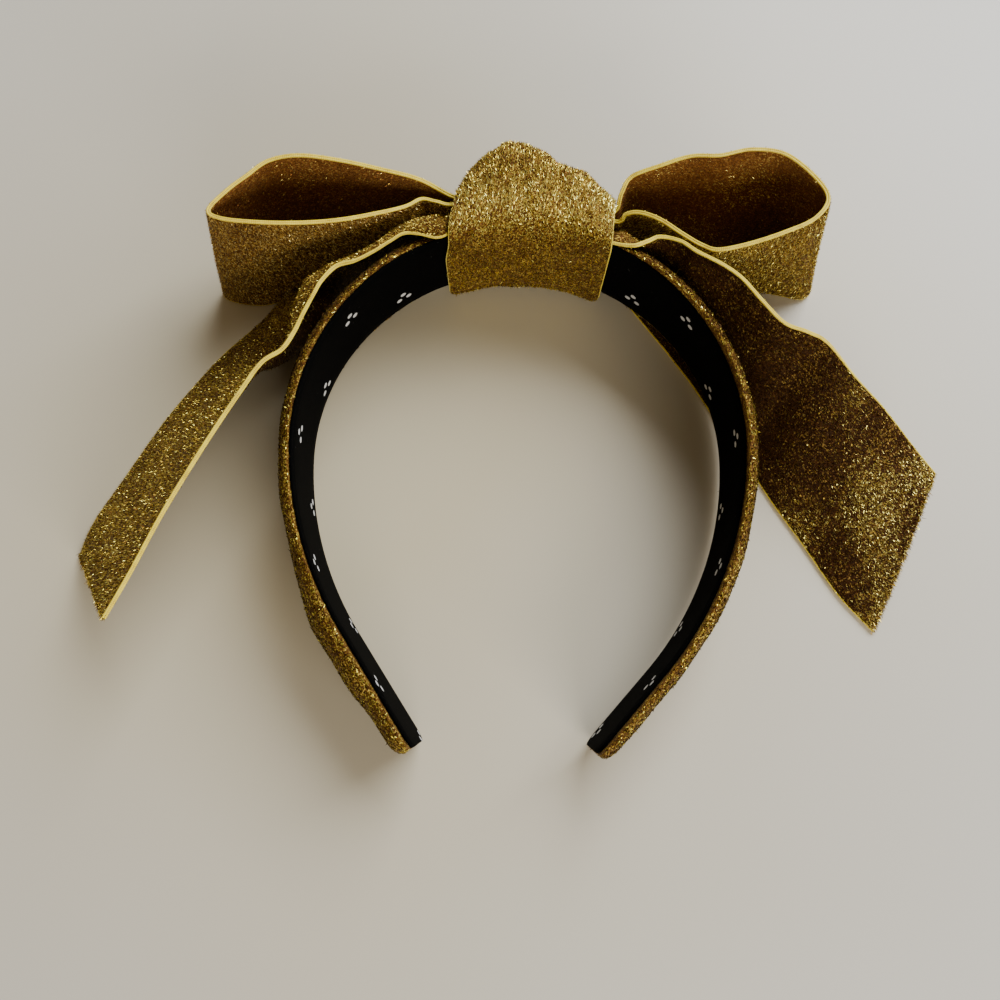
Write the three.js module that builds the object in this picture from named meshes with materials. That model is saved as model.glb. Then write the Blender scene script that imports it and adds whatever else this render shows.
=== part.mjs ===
// Bow headband lying on its side: a padded band in gold velvet with a dark lining, and a wide
// ribbon tied round the crown into a knot, two loops and two slant-cut tails.
// Millimetres, +Z up from the table, +Y towards the crown, +X to the viewer's right.
import * as THREE from 'three';

// Padded band, measured along its inner face
const INNER_WIDTH = 132;
const SIDE_RADIUS = 102;
const LEGS = {
  left: { sign: -1, sweepDeg: 32.6, straight: 39, swell: 2.9 },
  right: { sign: 1, sweepDeg: 40.5, straight: 29.5, swell: 0 },
};
const CROWN_HALF_WIDTH = 20;
const TIP_HALF_WIDTH = 15;
const CROWN_DEPTH = 7.3;
const TIP_DEPTH = 5.6;
const TIP_CORNER = 5;
const TIP_DEPTH_SHARE = 0.55;
const TIP_LEAN = 1.8;
const SWELL_START = 130;
const SWELL_FULL = 158;
const SWELL_FADE = 172;
const SWELL_FADE_SHARE = 0.6;
const KNOT_PINCH = 2;
const PINCH_START = 24;
const PINCH_END = 48;
const BAND_TILT_DEG = 3.5;
const LEG_STEPS = 38;
const CORNER_STEPS = 4;
const PAD_SIDES = 9;
const PAD_FULLNESS = 2.2;

// Lining strip on the inner face
const LINING_THICKNESS = 1;
const LINING_MARGIN = 0.8;
const PIECE_GAP = 0.3;

// Ribbon of the bow
const RIBBON_WALL = 1.5;
const RIBBON_SIDES = 6;
const STEPS_PER_ROW = 3;
const PLEATS = 1.5;
const CREST_CROWDING = 0.4;

// Knot: one turn of ribbon round the band and the gathered middle of the bow
const KNOT_HALF_HEIGHT = 22.6;
const KNOT_FULLNESS = 2.2;
const FLARE_TOP = 19;
const FLARE_BOTTOM = 6;
const FLARE_SLOPE = 0.4;
const KNOT_FLAT_STEPS = 4;
const KNOT_CORNER_STEPS = 3;
const KNOT_DOME_STEPS = 12;

const LOOKS = {
  padVelvet: { color: 0x8a6418, roughness: 0.55, metalness: 0.35 },
  lining: { color: 0x121214, roughness: 0.6, metalness: 0 },
  ribbonVelvet: { color: 0x93691c, roughness: 0.5, metalness: 0.4 },
};

// Knot sections across the ribbon, from its left edge to its right edge: x on the lining side, x on
// the dome, y of the lining-side face, y of the dome's outermost line, radius of the corners at the
// rims, and how far the lining side spreads to the left below the upper rim, along the crown's arc.
const KNOT_SECTIONS = [
  { xIn: -21.5, xOut: -18.5, inner: 61, outer: 83.5, corner: 4, flare: 2.2 },
  { xIn: -17, xOut: -16, inner: 61.8, outer: 88.5, corner: 5.5, flare: 1.2 },
  { xIn: -11, xOut: -11.5, inner: 62.4, outer: 95.5, corner: 8, flare: 0.4 },
  { xIn: -6, xOut: -6.5, inner: 62.6, outer: 99, corner: 9, flare: 0 },
  { xIn: 0, xOut: -1, inner: 62.6, outer: 101, corner: 9, flare: 0 },
  { xIn: 5, xOut: 4, inner: 62.6, outer: 99.5, corner: 9, flare: 0 },
  { xIn: 10, xOut: 9, inner: 62.2, outer: 95, corner: 9, flare: 0 },
  { xIn: 15, xOut: 14.5, inner: 61.6, outer: 92.5, corner: 8, flare: 0 },
  { xIn: 20, xOut: 19.5, inner: 60.8, outer: 90, corner: 6, flare: 0 },
  { xIn: 24.5, xOut: 25.5, inner: 59.6, outer: 84.5, corner: 4, flare: 0 },
  { xIn: 27.3, xOut: 29, inner: 58.6, outer: 80, corner: 4, flare: 0 },
];

// Ribbon sections from the knot outwards: the upper edge (near), the lower edge (far), how far the
// middle stands off the straight line between them (belly), how far that swell sits towards the
// lower edge (low, 1 at the middle where it is left out), and the depth of the gathers (pleat).
const RIBBONS = {
  loop_left: [
    { near: [1, 86, 35], far: [1, 85, 14], belly: 0, pleat: 0.8 },
    { near: [-14, 80.3, 36], far: [-14, 80, 13], belly: 0, pleat: 0.8 },
    { near: [-20, 78.4, 36.5], far: [-21, 78.6, 11.5], belly: 0, pleat: 0.8 },
    { near: [-31, 80.5, 43], far: [-33, 81, 7], belly: 0, pleat: 0.5 },
    { near: [-43, 82, 46], far: [-47, 82.5, 3], belly: 0, pleat: 0 },
    { near: [-55, 83.5, 48], far: [-61, 83, 1], belly: 0, pleat: 0 },
    { near: [-67, 84, 49.5], far: [-74, 82.5, 0.75], belly: 0, pleat: 0 },
    { near: [-76, 82, 49.5], far: [-84, 80.5, 0.75], belly: 0, pleat: 0 },
    { near: [-82, 77, 49.5], far: [-90.5, 75.5, 0.75], belly: 0, pleat: 0 },
    { near: [-87.5, 72, 49.5], far: [-96, 69.5, 0.75], belly: 0, pleat: 0 },
    { near: [-92.5, 65.5, 49.5], far: [-101, 63, 0.75], belly: 0, pleat: 0 },
    { near: [-89, 62.7, 49.5], far: [-97.5, 60, 0.75], belly: 0, pleat: 0 },
    { near: [-78.5, 61.5, 49.5], far: [-87, 59, 0.75], belly: 0, pleat: 0 },
    { near: [-65.5, 62, 48.5], far: [-73, 63, 0.75], belly: 0, pleat: 0 },
    { near: [-54, 64, 47], far: [-60, 67, 1.5], belly: 0, pleat: 0 },
    { near: [-42.5, 67.7, 45], far: [-46, 71, 4], belly: 0, pleat: 0.3 },
    { near: [-35, 71.8, 42], far: [-37.5, 72.5, 7], belly: 0, pleat: 0.6 },
    { near: [-30.5, 75.6, 40], far: [-31.5, 75.3, 9], belly: 0, pleat: 0.6 },
    { near: [-26, 75.4, 39], far: [-26.5, 75.2, 10], belly: 0, pleat: 0.6 },
    { near: [-19.5, 75.4, 37.5], far: [-20, 75.5, 11], belly: 0, pleat: 0.6 },
    { near: [1, 81.5, 34], far: [1, 81, 14], belly: 0, pleat: 0.6 },
  ],
  loop_right: [
    { near: [3, 86, 35], far: [3, 85, 14], belly: 0, pleat: 0.8 },
    { near: [22, 78.5, 36], far: [22, 78.5, 13], belly: 0, pleat: 0.8 },
    { near: [29.5, 74.6, 35.5], far: [30, 75.2, 12], belly: 0, pleat: 0.8 },
    { near: [31.5, 79, 39], far: [33, 80, 9], belly: 0, pleat: 0.5 },
    { near: [34.5, 83.5, 41], far: [38, 84, 6], belly: 0, pleat: 0 },
    { near: [43, 85.5, 44], far: [47, 85, 3], belly: 0, pleat: 0 },
    { near: [52, 87.5, 46], far: [57, 83, 1], belly: 0, pleat: 0 },
    { near: [60.5, 86.5, 48], far: [67, 81.5, 0.75], belly: 0, pleat: 0 },
    { near: [70, 88, 49], far: [78, 81, 0.75], belly: 0, pleat: 0 },
    { near: [80, 86, 49.5], far: [90.5, 81, 0.75], belly: 0, pleat: 0 },
    { near: [88.5, 78, 49.5], far: [97.5, 75.5, 0.75], belly: 0, pleat: 0 },
    { near: [91.5, 71, 49.5], far: [101, 67.5, 0.75], belly: 0, pleat: 0 },
    { near: [87, 64.5, 49.5], far: [98.5, 63.2, 0.75], belly: 0, pleat: 0 },
    { near: [78, 60, 49.5], far: [88.5, 65, 0.75], belly: 0, pleat: 0 },
    { near: [68, 57, 48], far: [79, 66.5, 0.75], belly: 0, pleat: 0 },
    { near: [59, 55.7, 46.5], far: [70, 67.5, 1], belly: 0, pleat: 0 },
    { near: [54.3, 58, 45], far: [63, 68.5, 2], belly: 0, pleat: 0 },
    { near: [49, 62.5, 43.5], far: [55.5, 70, 4], belly: 0, pleat: 0.3 },
    { near: [42.7, 68.5, 41.5], far: [47, 72.5, 7], belly: 0, pleat: 0.6 },
    { near: [37, 72, 39.5], far: [39.5, 74, 9], belly: 0, pleat: 0.6 },
    { near: [33, 72.3, 38], far: [34, 73.2, 11], belly: 0, pleat: 0.6 },
    { near: [30.5, 70.8, 36], far: [30.5, 71.8, 12], belly: 0, pleat: 0.6 },
    { near: [22, 74.5, 35], far: [22, 74.8, 13], belly: 0, pleat: 0.6 },
    { near: [3, 81.5, 34], far: [3, 81, 14], belly: 0, pleat: 0.6 },
  ],
  tail_left: [
    { near: [1, 76.5, 30], far: [1, 76.5, 13], belly: 0, pleat: 0.5 },
    { near: [-12, 72.8, 37.5], far: [-12, 74.2, 12], belly: 0, pleat: 0.3 },
    { near: [-18, 67.8, 41.8], far: [-18, 73.2, 11], belly: 3.5, low: 0.4, pleat: 0.2 },
    { near: [-21.3, 62.4, 43.3], far: [-21.8, 72.5, 10.5], belly: 6, low: 0.4, pleat: 0.2 },
    { near: [-25.1, 60.4, 43.7], far: [-26.5, 72, 9], belly: 7.8, low: 0.4, pleat: 0 },
    { near: [-30.3, 61.3, 44], far: [-32, 70.8, 5], belly: 6, low: 0.35, pleat: 0 },
    { near: [-35, 61.5, 44], far: [-38, 68.3, 2], belly: 3.8, low: 0.35, pleat: 0 },
    { near: [-39.1, 58.9, 44], far: [-43.5, 66.5, 1], belly: 2.8, low: 0.35, pleat: 0 },
    { near: [-43.8, 55.3, 44.3], far: [-49.5, 64, 0.75], belly: 2.4, low: 0.35, pleat: 0.2 },
    { near: [-49.2, 52.1, 44.4], far: [-56.5, 62.5, 0.75], belly: 2, low: 0.4, pleat: 0.6 },
    { near: [-54.7, 50.3, 44.3], far: [-63, 61, 0.75], belly: -0.5, low: 0.7, pleat: 2.2 },
    { near: [-58.8, 45.7, 44.2], far: [-69.5, 60, 0.75], belly: -3, pleat: 4.2 },
    { near: [-60.9, 41.8, 43.8], far: [-74, 59.3, 0.75], belly: -4.5, pleat: 6 },
    { near: [-64.2, 36, 42], far: [-81.5, 57.3, 0.75], belly: -6, pleat: 4.7 },
    { near: [-67, 30.5, 40.5], far: [-88.5, 50.5, 0.75], belly: -7, pleat: 2.5 },
    { near: [-70.3, 25.3, 40], far: [-94, 45, 0.75], belly: -6.5, pleat: 1 },
    { near: [-76, 21, 40], far: [-99, 40, 0.75], belly: -5, pleat: 0 },
    { near: [-82, 12, 39], far: [-106.5, 30.5, 0.75], belly: -3, pleat: 0 },
    { near: [-91, -3.5, 38], far: [-117, 15.5, 0.75], belly: -1, pleat: 0 },
    { near: [-101.5, -23.5, 37], far: [-129.5, -6.5, 0.75], belly: 0, pleat: 0 },
    { near: [-109, -41, 37], far: [-136.5, -19, 0.75], belly: 0, pleat: 0 },
    { near: [-115.5, -54, 36], far: [-140, -30, 0.75], belly: 0, pleat: 0 },
  ],
  tail_right: [
    { near: [3, 76.5, 30], far: [3, 76.5, 13], belly: 0, pleat: 0.5 },
    { near: [14, 73, 37], far: [14, 74, 12], belly: 0, pleat: 0.3 },
    { near: [22, 67, 41.6], far: [22, 71.8, 11], belly: -2.2, low: 0.5, pleat: 0.2 },
    { near: [26, 60.6, 43.3], far: [26.5, 69, 10], belly: -4.9, low: 0.5, pleat: 0.2 },
    { near: [29.5, 58.8, 43.7], far: [30, 66.5, 8], belly: -6.3, low: 0.5, pleat: 0 },
    { near: [34.5, 58.4, 43.7], far: [33.5, 65, 4.5], belly: -5.5, low: 0.8, pleat: 0 },
    { near: [38.6, 60.2, 43.2], far: [37, 61, 2], belly: -5.5, low: 1.5, pleat: 0 },
    { near: [42.3, 61.7, 43.1], far: [41.5, 55.5, 0.75], belly: -6.5, low: 2.3, pleat: 0 },
    { near: [48, 59.5, 44.6], far: [47, 48, 0.75], belly: -7, low: 3, pleat: 0 },
    { near: [52.5, 55, 46.5], far: [50.5, 43.3, 0.75], belly: -7, low: 4, pleat: 0 },
    { near: [59.3, 50.5, 47.5], far: [54.5, 37.5, 0.75], belly: -7, low: 4, pleat: 0 },
    { near: [65, 46, 47.5], far: [58.5, 31.8, 0.75], belly: -6.5, low: 4, pleat: 0 },
    { near: [71, 38.7, 47], far: [63, 24.5, 0.75], belly: -5.5, low: 3, pleat: 0 },
    { near: [77.3, 32.8, 45.5], far: [67.5, 17, 0.75], belly: -4.5, low: 2, pleat: 0 },
    { near: [84.7, 31.2, 43], far: [71.5, 11, 0.75], belly: -3, pleat: 0 },
    { near: [91.5, 29, 40], far: [76, 4, 0.75], belly: -3, pleat: 0 },
    { near: [101, 21, 34], far: [84, -10, 0.75], belly: -1, pleat: 0 },
    { near: [112, 13, 27], far: [93, -24, 0.75], belly: 0.5, pleat: 0 },
    { near: [123, 2, 21], far: [103, -40, 0.75], belly: 1.5, pleat: 0 },
    { near: [129.5, -4.5, 18], far: [113, -51.5, 0.75], belly: 2, pleat: 0 },
  ],
};

// A closed solid from shared vertices and triangles, turned so that its faces point outwards.
function solid(name, vertices, triangles, look) {
  let volume = 0;
  for (const [a, b, c] of triangles) {
    volume += vertices[a].dot(new THREE.Vector3().crossVectors(vertices[b], vertices[c])) / 6;
  }
  const faces = volume < 0 ? triangles.map(([a, b, c]) => [a, c, b]) : triangles;
  const geometry = new THREE.BufferGeometry();
  const numbers = vertices.flatMap((vertex) => vertex.toArray());
  geometry.setAttribute('position', new THREE.Float32BufferAttribute(numbers, 3));
  geometry.setIndex(faces.flat());
  geometry.computeVertexNormals();
  const mesh = new THREE.Mesh(geometry, new THREE.MeshStandardMaterial(look));
  mesh.name = name;
  return mesh;
}

// A row of closed rings joined into a skin, with a flat fan on the first and the last ring.
function sweptSolid(name, rings, look) {
  const count = rings[0].length;
  const vertices = rings.flat();
  const triangles = [];
  for (let i = 0; i + 1 < rings.length; i += 1) {
    for (let j = 0; j < count; j += 1) {
      const a = i * count + j;
      const b = i * count + ((j + 1) % count);
      triangles.push([a, b, b + count], [a, b + count, a + count]);
    }
  }
  const last = (rings.length - 1) * count;
  for (let j = 1; j + 1 < count; j += 1) {
    triangles.push([0, j + 1, j], [last, last + j, last + j + 1]);
  }
  return solid(name, vertices, triangles, look);
}

// Unit normals of a grid of points, from the differences along and across it.
function gridNormals(grid, around) {
  const rows = grid.length;
  const cols = grid[0].length;
  return grid.map((row, i) => row.map((_, j) => {
    const after = grid[Math.min(i + 1, rows - 1)][j];
    const before = grid[Math.max(i - 1, 0)][j];
    const along = new THREE.Vector3().subVectors(after, before);
    const next = around ? (j + 1) % cols : Math.min(j + 1, cols - 1);
    const previous = around ? (j + cols - 1) % cols : Math.max(j - 1, 0);
    const across = new THREE.Vector3().subVectors(grid[i][next], grid[i][previous]);
    return across.cross(along).normalize();
  }));
}

// A cloth wall of even thickness on both sides of a grid; around closes the grid across.
function wallSolid(name, grid, wall, around, look) {
  const rows = grid.length;
  const cols = grid[0].length;
  const normals = gridNormals(grid, around);
  const side = (offset) => grid.flatMap((row, i) => (
    row.map((point, j) => point.clone().addScaledVector(normals[i][j], offset))
  ));
  const vertices = [...side(wall / 2), ...side(-wall / 2)];
  const back = rows * cols;
  const triangles = [];
  const quad = (a, b, c, d) => triangles.push([a, b, c], [a, c, d]);
  const spans = around ? cols : cols - 1;
  for (let i = 0; i + 1 < rows; i += 1) {
    for (let j = 0; j < spans; j += 1) {
      const a = i * cols + j;
      const b = i * cols + ((j + 1) % cols);
      quad(a, b, b + cols, a + cols);
      quad(back + a, back + a + cols, back + b + cols, back + b);
    }
  }
  const last = (rows - 1) * cols;
  for (let j = 0; j < spans; j += 1) {
    const k = (j + 1) % cols;
    quad(j, back + j, back + k, k);
    quad(last + j, last + k, back + last + k, back + last + j);
  }
  if (!around) {
    for (let i = 0; i + 1 < rows; i += 1) {
      const a = i * cols;
      const b = a + cols - 1;
      quad(a, a + cols, back + a + cols, back + a);
      quad(b, back + b, back + b + cols, b + cols);
    }
  }
  return solid(name, vertices, triangles, look);
}

// Stations down one leg of the band: place and outward direction of the inner face, share of the
// way to the tip, half width and padding depth. Crown arc, then side arc, then straight; the rims
// are drawn in under the knot, and the padding swells towards the left tip.
function legStations({ sign, sweepDeg, straight, swell }) {
  const crown = INNER_WIDTH / 2;
  const sweep = THREE.MathUtils.degToRad(sweepDeg);
  const crownLength = (crown * Math.PI) / 2;
  const sideLength = SIDE_RADIUS * sweep;
  const length = crownLength + sideLength + straight;
  const marks = [];
  for (let i = 0; i <= LEG_STEPS; i += 1) {
    marks.push(((length - TIP_CORNER) * i) / LEG_STEPS);
  }
  for (let i = 1; i <= CORNER_STEPS; i += 1) {
    marks.push(length - TIP_CORNER + TIP_CORNER * Math.sin((Math.PI / 2) * (i / CORNER_STEPS)));
  }
  return marks.map((s) => {
    const sideTurn = Math.PI / 2 + Math.min((s - crownLength) / SIDE_RADIUS, sweep);
    const turn = s < crownLength ? s / crown : sideTurn;
    const outward = new THREE.Vector3(sign * Math.sin(turn), Math.cos(turn), 0);
    const place = outward.clone().multiplyScalar(s < crownLength ? crown : SIDE_RADIUS);
    if (s >= crownLength) {
      place.x -= sign * (SIDE_RADIUS - crown);
    }
    const beyond = Math.max(0, s - crownLength - sideLength);
    place.addScaledVector(new THREE.Vector3(sign * Math.cos(turn), -Math.sin(turn), 0), beyond);
    const share = s / length;
    const cornerShare = Math.max(0, s - length + TIP_CORNER) / TIP_CORNER;
    const corner = Math.sqrt(Math.max(0, 1 - cornerShare ** 2));
    const fullHalf = THREE.MathUtils.lerp(CROWN_HALF_WIDTH, TIP_HALF_WIDTH, share);
    const pinch = KNOT_PINCH * (1 - THREE.MathUtils.smoothstep(s, PINCH_START, PINCH_END));
    const halfWidth = fullHalf - TIP_CORNER * (1 - corner) - pinch;
    const fullness = TIP_DEPTH_SHARE + (1 - TIP_DEPTH_SHARE) * corner;
    const fade = 1 - SWELL_FADE_SHARE * THREE.MathUtils.smoothstep(s, SWELL_FADE, length);
    const swollen = swell * THREE.MathUtils.smoothstep(s, SWELL_START, SWELL_FULL) * fade;
    const depth = (THREE.MathUtils.lerp(CROWN_DEPTH, TIP_DEPTH, share) + swollen) * fullness;
    return { place, outward, share, halfWidth, depth };
  });
}

// The whole band from the left tip over the crown to the right tip.
function bandStations() {
  return [...legStations(LEGS.left).reverse(), ...legStations(LEGS.right).slice(1)];
}

// A point of the band at an offset from the inner face and a height above the middle line; the
// lower rim leans inwards towards the tips.
function bandPoint(station, offset, height) {
  const lean = TIP_LEAN * station.share ** 2 * (0.5 - height / (2 * station.halfWidth));
  return station.place.clone().addScaledVector(station.outward, offset - lean).setZ(height);
}

// D-shaped padding: flat towards the head, round outside.
function bandCover() {
  const flat = LINING_THICKNESS + PIECE_GAP;
  const power = 2 / PAD_FULLNESS;
  const rings = bandStations().map((station) => {
    const ring = [];
    for (let j = 0; j <= PAD_SIDES; j += 1) {
      const angle = Math.PI * (j / PAD_SIDES - 0.5);
      const depth = (station.depth - flat) * Math.max(0, Math.cos(angle)) ** power;
      const height = Math.sign(angle) * Math.abs(Math.sin(angle)) ** power * station.halfWidth;
      ring.push(bandPoint(station, flat + depth, height));
    }
    return ring;
  });
  return sweptSolid('band_cover', rings, LOOKS.padVelvet);
}

// A flat strip inside the rims.
function bandLining() {
  const rings = bandStations().map((station) => {
    const reach = station.halfWidth - LINING_MARGIN;
    return [
      bandPoint(station, 0, -reach),
      bandPoint(station, LINING_THICKNESS, -reach),
      bandPoint(station, LINING_THICKNESS, reach),
      bandPoint(station, 0, reach),
    ];
  });
  return sweptSolid('band_lining', rings, LOOKS.lining);
}

// Ribbon turn round the crown: flat over the lining, round corners at the rims, a high dome outside.
function bowKnot() {
  const half = KNOT_HALF_HEIGHT - RIBBON_WALL / 2;
  const power = 2 / KNOT_FULLNESS;
  const grid = KNOT_SECTIONS.map(({ xIn, xOut, inner, outer, corner, flare }) => {
    const section = [];
    const straight = half - corner;
    const add = (y, z) => {
      const share = THREE.MathUtils.smoothstep(y, inner, outer);
      const below = 1 - THREE.MathUtils.smoothstep(z, FLARE_BOTTOM, FLARE_TOP);
      const spread = flare * below * (1 - share);
      const x = THREE.MathUtils.lerp(xIn, xOut, share) - spread;
      section.push(new THREE.Vector3(x, y - FLARE_SLOPE * spread, z));
    };
    for (let j = 0; j < KNOT_FLAT_STEPS; j += 1) {
      add(inner, straight * ((2 * j) / KNOT_FLAT_STEPS - 1));
    }
    for (let j = 0; j < KNOT_CORNER_STEPS; j += 1) {
      const angle = (Math.PI / 2) * (j / KNOT_CORNER_STEPS);
      add(inner + corner * (1 - Math.cos(angle)), straight + corner * Math.sin(angle));
    }
    const root = inner + corner;
    for (let j = 0; j <= KNOT_DOME_STEPS; j += 1) {
      const angle = Math.PI * (0.5 - j / KNOT_DOME_STEPS);
      const y = root + (outer - root) * Math.max(0, Math.cos(angle)) ** power;
      add(y, half * Math.sign(angle) * Math.abs(Math.sin(angle)) ** power);
    }
    for (let j = KNOT_CORNER_STEPS - 1; j > 0; j -= 1) {
      const angle = (Math.PI / 2) * (j / KNOT_CORNER_STEPS);
      add(inner + corner * (1 - Math.cos(angle)), -straight - corner * Math.sin(angle));
    }
    return section;
  });
  return wallSolid('bow_knot', grid, RIBBON_WALL, true, LOOKS.ribbonVelvet);
}

// A ribbon through its table of sections: smooth curves along both edges, and between them an arc
// of the section's belly, highest at low / (low + 1) of the way down, with gathers near the knot.
// The lines along the ribbon crowd towards that crest.
function ribbon(name, rows) {
  const curve = (points) => new THREE.CatmullRomCurve3(points, false, 'catmullrom', 0.5);
  const near = curve(rows.map((row) => new THREE.Vector3(...row.near)));
  const far = curve(rows.map((row) => new THREE.Vector3(...row.far)));
  const shape = curve(rows.map((row) => new THREE.Vector3(row.belly, row.pleat, row.low ?? 1)));
  const steps = STEPS_PER_ROW * (rows.length - 1);
  const middle = (t) => near.getPoint(t).add(far.getPoint(t)).multiplyScalar(0.5);
  const grid = [];
  for (let i = 0; i <= steps; i += 1) {
    const t = i / steps;
    const before = middle(Math.max(0, t - 1 / steps));
    const along = middle(Math.min(1, t + 1 / steps)).sub(before);
    const top = near.getPoint(t);
    const bottom = far.getPoint(t);
    const across = bottom.clone().sub(top);
    const off = across.clone().cross(along).normalize();
    const { x: belly, y: pleat, z: low } = shape.getPoint(t);
    const crest = (low / (low + 1)) ** low / (low + 1);
    const section = [];
    for (let j = 0; j <= RIBBON_SIDES; j += 1) {
      const v = (j / RIBBON_SIDES) ** (low ** -CREST_CROWDING);
      const stand = (belly * v ** low * (1 - v)) / crest + pleat * Math.sin(2 * Math.PI * PLEATS * v);
      section.push(top.clone().addScaledVector(across, v).addScaledVector(off, stand));
    }
    grid.push(section);
  }
  return wallSolid(name, grid, RIBBON_WALL, false, LOOKS.ribbonVelvet);
}

// The band and the knot tilt together: the bow lifts the crown and the tips touch the table.
const tiltedBand = new THREE.Group();
tiltedBand.add(bandCover(), bandLining(), bowKnot());
tiltedBand.rotation.x = THREE.MathUtils.degToRad(BAND_TILT_DEG);
tiltedBand.updateMatrixWorld(true);
tiltedBand.position.z = -new THREE.Box3().setFromObject(tiltedBand, true).min.z;

const ribbons = new THREE.Group();
for (const [name, rows] of Object.entries(RIBBONS)) {
  ribbons.add(ribbon(name, rows));
}

// The origin is the middle of the outline, on the table.
const headband = new THREE.Group();
headband.add(tiltedBand, ribbons);
headband.updateMatrixWorld(true);
const box = new THREE.Box3().setFromObject(headband, true);
headband.position.set(-(box.min.x + box.max.x) / 2, -(box.min.y + box.max.y) / 2, -box.min.z);
headband.updateMatrixWorld(true);

export default headband;
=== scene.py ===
import math

import bpy
import numpy as np
from mathutils import Matrix


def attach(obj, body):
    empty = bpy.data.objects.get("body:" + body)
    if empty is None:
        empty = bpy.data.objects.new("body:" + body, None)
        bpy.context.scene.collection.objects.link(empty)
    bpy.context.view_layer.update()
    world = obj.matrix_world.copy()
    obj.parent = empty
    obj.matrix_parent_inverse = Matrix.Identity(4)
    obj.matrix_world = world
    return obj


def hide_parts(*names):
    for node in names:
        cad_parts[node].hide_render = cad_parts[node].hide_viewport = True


# Bow headband: a padded band in gold foil velvet lying on its rim, and a wide velvet ribbon with
# pale corded edges tied round the crown. Tables are in millimetres from the centre of the crown's
# arc, +Z up from the table; pieces are in metres in the part's own frame.
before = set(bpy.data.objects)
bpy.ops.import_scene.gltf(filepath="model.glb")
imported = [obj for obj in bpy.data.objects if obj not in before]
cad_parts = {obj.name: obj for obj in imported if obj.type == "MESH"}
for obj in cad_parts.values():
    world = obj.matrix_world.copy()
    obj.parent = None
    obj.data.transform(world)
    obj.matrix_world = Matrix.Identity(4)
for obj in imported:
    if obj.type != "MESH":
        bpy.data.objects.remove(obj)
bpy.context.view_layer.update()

MM = 0.001
ORIGIN = np.array([-5.466, 5.4165, 0.0])

# Padded band, measured along its inner face. A leg is its side, the sweep of its side arc in degrees,
# the length of its straight end and how far its padding swells.
INNER_RADIUS = 66.0
SIDE_RADIUS = 102.0
LEGS = {"left": (-1, 32.6, 39.0, 2.9), "right": (1, 40.5, 29.5, 0.0)}
CROWN_HALF_WIDTH, TIP_HALF_WIDTH = 20.0, 15.0
CROWN_DEPTH, TIP_DEPTH = 7.3, 5.6
TIP_CORNER, TIP_DEPTH_SHARE, TIP_LEAN = 5.0, 0.55, 1.8
SWELL_START, SWELL_FULL, SWELL_FADE, SWELL_FADE_SHARE = 130.0, 158.0, 172.0, 0.6
KNOT_PINCH, PINCH_START, PINCH_END = 2.0, 24.0, 48.0
PAD_FULLNESS = 2.2
BAND_TILT = math.radians(3.5)
BAND_LIFT = 20.251
LINING_THICKNESS, LINING_MARGIN, PIECE_GAP = 1.0, 3.0, 0.3
LINING_LIFT, LIFT_LEFT, LIFT_RIGHT = 2.3, (-165.0, -95.0), (15.0, 85.0)
LINING_UNPINCHED = 0.7
PAD_STEPS, PAD_SIDES = 200, 41
LINING_STEPS, LINING_SIDES = 160, 11

# Ribbon
RIBBON_WALL, RIBBON_SIDES = 1.2, 24
PLEATS = 1.5
CREST_CROWDING = 0.4
CORD_RADIUS = 0.35
CORD_SPREAD = 0.32
KNOT_CORD_RADIUS, KNOT_CORD_SHIFT = 0.3, 0.2
KNOT_HALF_HEIGHT, KNOT_FULLNESS, KNOT_RIM_INSET = 22.6, 2.2, 0.75
KNOT_COLUMNS, KNOT_FLAT_STEPS, KNOT_BEND_STEPS, KNOT_DOME_STEPS = 91, 32, 13, 97
FLARE_TOP, FLARE_BOTTOM, FLARE_SLOPE = 19.0, 6.0, 0.4
HEM_TUCK, HEM_SAG, HEM_RISE, HEM_FALL = 1.8, 1.8, 7.0, 7.0

# Pile: blades, length, width and lean along the cloth; the cut ends' loose yarns have no lean
BAND_PILE = (120000, 1.0, 0.32, 0.9)
KNOT_PILE = (55000, 1.1, 0.34, 0.9)
RIBBON_BLADE = (0.8, 0.26)
FRONT_LEAN, BACK_LEAN = 0.8, 0.9
CUT_YARNS = (2600, 1.4, 0.24)
PILE_FOOT, PILE_FLOOR = 0.1, 0.05

# Print on the lining, in metres: trios of dots in a half-drop layout
PRINT_REPEAT, PRINT_DROP, PRINT_DOT_RADIUS = 0.040, 0.0155, 0.00095
PRINT_DOTS = [(0.0, 0.0017), (-0.0018, -0.0011), (0.0018, -0.0011)]

# Knot sections across the ribbon, from its left edge to its right edge: x on the lining side, x on
# the dome, y of the lining-side face, y of the dome's outermost line, radius of the corners at the
# rims, and how far the lining side spreads to the left below the upper rim, along the crown's arc.
KNOT_SECTIONS = [
    (-21.5, -18.5, 61, 83.5, 4, 1.4),
    (-17, -16, 61.8, 88.5, 5.5, 0.8),
    (-11, -11.5, 62.4, 95.5, 8, 0.3),
    (-6, -6.5, 62.6, 99, 9, 0),
    (0, -1, 62.6, 101, 9, 0),
    (5, 4, 62.6, 99.5, 9, 0),
    (10, 9, 62.2, 95, 9, 0),
    (15, 14.5, 61.6, 92.5, 8, 0),
    (20, 19.5, 60.8, 90, 6, 0),
    (24.5, 25.5, 59.6, 84.5, 4, 0),
    (27.3, 29, 58.6, 80, 4, 0),
]

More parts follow.
